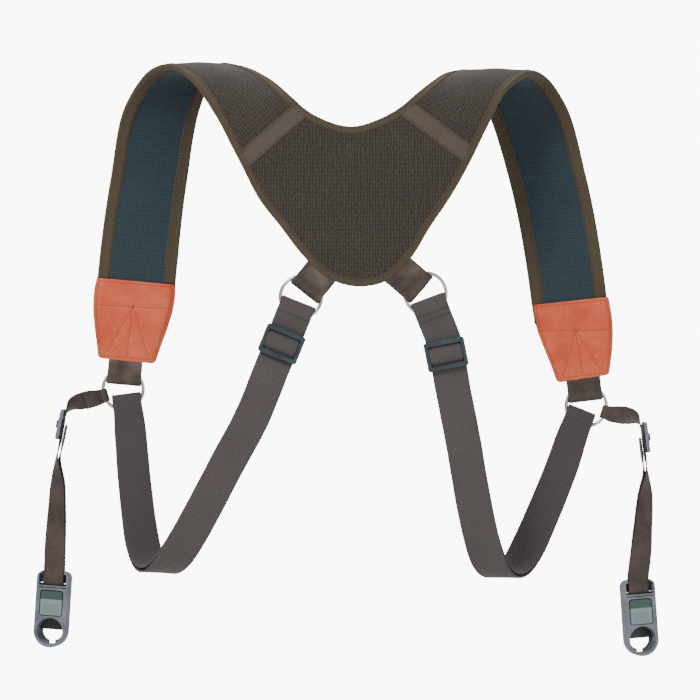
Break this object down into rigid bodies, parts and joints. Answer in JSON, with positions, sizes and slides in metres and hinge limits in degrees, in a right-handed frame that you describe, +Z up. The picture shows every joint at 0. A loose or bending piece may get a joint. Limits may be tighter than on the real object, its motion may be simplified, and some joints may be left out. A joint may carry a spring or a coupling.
{
  "type": "binocular harness",
  "caption": "Padded back yoke with two shoulder straps, leather ends, steel rings, adjustable elastic straps and quick-release tethers for carrying binoculars.",
  "frame": {"origin": "on the flat inner face of the back yoke, where it rests on the wearer's back", "axes": "+Z up the wearer's back, +Y from the back to the chest, +X to the wearer's right"},
  "size_m": [0.4512, 0.0867, 0.4279],
  "materials": {
    "outer_fabric": "fine vertical knit, matte",
    "foam": "closed-cell foam",
    "lining": "fine waffle mesh, matte",
    "binding": "stretch binding, twill",
    "ribbed_tape": "ribbed grosgrain",
    "leather": "pebbled, semi-matte",
    "satin_webbing": "tight satin weave, slight sheen",
    "elastic": "fine twill, matte",
    "steel": "polished",
    "slider_plastic": "fine grain, semi-gloss",
    "small_slider_plastic": "fine grain",
    "connector_plastic": "fine grain, semi-matte",
    "button": "semi-matte with grip ribs",
    "latch": "satin"
  },
  "bodies": {
    "harness": {"yoke_outer_fabric": "outer_fabric", "yoke_foam": "foam", "yoke_lining": "lining", "yoke_binding": "binding", "left_shoulder_outer_fabric": "outer_fabric", "left_shoulder_foam": "foam", "left_shoulder_lining": "lining", "left_shoulder_binding": "binding", "left_seam_tape": "ribbed_tape", "left_leather_inner": "leather", "left_leather_outer": "leather", "left_yoke_loop": "satin_webbing", "left_front_loop": "satin_webbing", "left_lower_strap": "elastic", "left_lower_strap_return": "elastic", "right_shoulder_outer_fabric": "outer_fabric", "right_shoulder_foam": "foam", "right_shoulder_lining": "lining", "right_shoulder_binding": "binding", "right_seam_tape": "ribbed_tape", "right_leather_inner": "leather", "right_leather_outer": "leather", "right_yoke_loop": "satin_webbing", "right_front_loop": "satin_webbing", "right_lower_strap": "elastic", "right_lower_strap_return": "elastic"},
    "left_yoke_ring": {"left_yoke_ring": "steel"},
    "left_front_ring": {"left_front_ring": "steel"},
    "left_slider": {"left_slider": "slider_plastic", "left_slider_bight": "elastic"},
    "left_tether_top": {"left_tether_top": "satin_webbing"},
    "left_tether_lower": {"left_tether_strap": "satin_webbing", "left_tether_return": "satin_webbing"},
    "left_small_slider": {"left_small_slider": "small_slider_plastic", "left_small_slider_bight": "satin_webbing"},
    "left_connector": {"left_connector_front_shell": "connector_plastic", "left_connector_back_shell": "connector_plastic", "left_connector_pin": "steel", "left_connector_button_spring": "steel", "left_connector_latch_springs": "steel"},
    "left_button": {"left_connector_button": "button"},
    "left_latch": {"left_connector_latch": "latch"},
    "right_yoke_ring": {"right_yoke_ring": "steel"},
    "right_front_ring": {"right_front_ring": "steel"},
    "right_slider": {"right_slider": "slider_plastic", "right_slider_bight": "elastic"},
    "right_tether_top": {"right_tether_top": "satin_webbing"},
    "right_tether_lower": {"right_tether_strap": "satin_webbing", "right_tether_return": "satin_webbing"},
    "right_small_slider": {"right_small_slider": "small_slider_plastic", "right_small_slider_bight": "satin_webbing"},
    "right_connector": {"right_connector_front_shell": "connector_plastic", "right_connector_back_shell": "connector_plastic", "right_connector_pin": "steel", "right_connector_button_spring": "steel", "right_connector_latch_springs": "steel"},
    "right_button": {"right_connector_button": "button"},
    "right_latch": {"right_connector_latch": "latch"}
  },
  "joints": [
    {"name": "left_yoke_ring_spin", "type": "hinge", "parent": "harness", "child": "left_yoke_ring", "pos_m": [-0.0359, -0.0025, -0.0683], "axis": [0, 1, 0], "continuous": true},
    {"name": "left_front_ring_spin", "type": "hinge", "parent": "harness", "child": "left_front_ring", "pos_m": [-0.1653, 0.065, -0.1341], "axis": [0, 1, 0], "continuous": true},
    {"name": "left_slider_slide", "type": "slide", "parent": "harness", "child": "left_slider", "axis": [-0.3779, 0, -0.9258], "range_m": [-0.003, 0.04]},
    {"name": "left_tether_swing", "type": "hinge", "parent": "harness", "child": "left_tether_top", "pos_m": [-0.17866, 0.065, -0.13844], "axis": [-0.309, 0, 0.9511], "range_deg": [-25, 25]},
    {"name": "left_tether_hang", "type": "hinge", "parent": "left_tether_top", "child": "left_tether_lower", "pos_m": [-0.2046, 0.065, -0.147], "axis": [0, 1, 0], "range_deg": [-20, 20]},
    {"name": "left_small_slider_slide", "type": "slide", "parent": "left_tether_lower", "child": "left_small_slider", "axis": [-0.2, 0, -0.9798], "range_m": [0, 0.01]},
    {"name": "left_connector_swivel", "type": "hinge", "parent": "left_tether_lower", "child": "left_connector", "pos_m": [-0.2153, 0.063, -0.274], "axis": [0.9858, -0.1561, -0.062], "range_deg": [-50, 14]},
    {"name": "left_button_press", "type": "slide", "parent": "left_connector", "child": "left_button", "axis": [0.1558, 0.9877, -0.0098], "range_m": [0, 0.0015], "stiffness_N_per_m": 900, "springref_m": -0.002},
    {"name": "left_latch_slide", "type": "slide", "parent": "left_connector", "child": "left_latch", "axis": [0.0628, 0, 0.998], "range_m": [0, 0.003]},
    {"name": "right_yoke_ring_spin", "type": "hinge", "parent": "harness", "child": "right_yoke_ring", "pos_m": [0.0517, -0.0025, -0.0659], "axis": [0, 1, 0], "continuous": true},
    {"name": "right_front_ring_spin", "type": "hinge", "parent": "harness", "child": "right_front_ring", "pos_m": [0.1693, 0.065, -0.146], "axis": [0, 1, 0], "continuous": true},
    {"name": "right_slider_slide", "type": "slide", "parent": "harness", "child": "right_slider", "axis": [0.194, 0, -0.981], "range_m": [-0.001, 0.04]},
    {"name": "right_tether_swing", "type": "hinge", "parent": "harness", "child": "right_tether_top", "pos_m": [0.18266, 0.065, -0.15034], "axis": [0.309, 0, 0.9511], "range_deg": [-25, 25]},
    {"name": "right_tether_hang", "type": "hinge", "parent": "right_tether_top", "child": "right_tether_lower", "pos_m": [0.2075, 0.065, -0.156], "axis": [0, 1, 0], "range_deg": [-20, 20]},
    {"name": "right_small_slider_slide", "type": "slide", "parent": "right_tether_lower", "child": "right_small_slider", "axis": [0.12, 0, -0.9928], "range_m": [0, 0.01]},
    {"name": "right_connector_swivel", "type": "hinge", "parent": "right_tether_lower", "child": "right_connector", "pos_m": [0.2067, 0.063, -0.2802], "axis": [0.9794, 0.1904, 0.0668], "range_deg": [-50, 14]},
    {"name": "right_button_press", "type": "slide", "parent": "right_connector", "child": "right_button", "axis": [-0.1899, 0.9817, -0.0129], "range_m": [0, 0.0015], "stiffness_N_per_m": 900, "springref_m": -0.002},
    {"name": "right_latch_slide", "type": "slide", "parent": "right_connector", "child": "right_latch", "axis": [-0.068, 0, 0.9977], "range_m": [0, 0.003]}
  ],
  "couplings": [
    {"joint": "left_latch_slide", "follows": "left_button_press", "ratio": 2},
    {"joint": "right_latch_slide", "follows": "right_button_press", "ratio": 2}
  ]
}
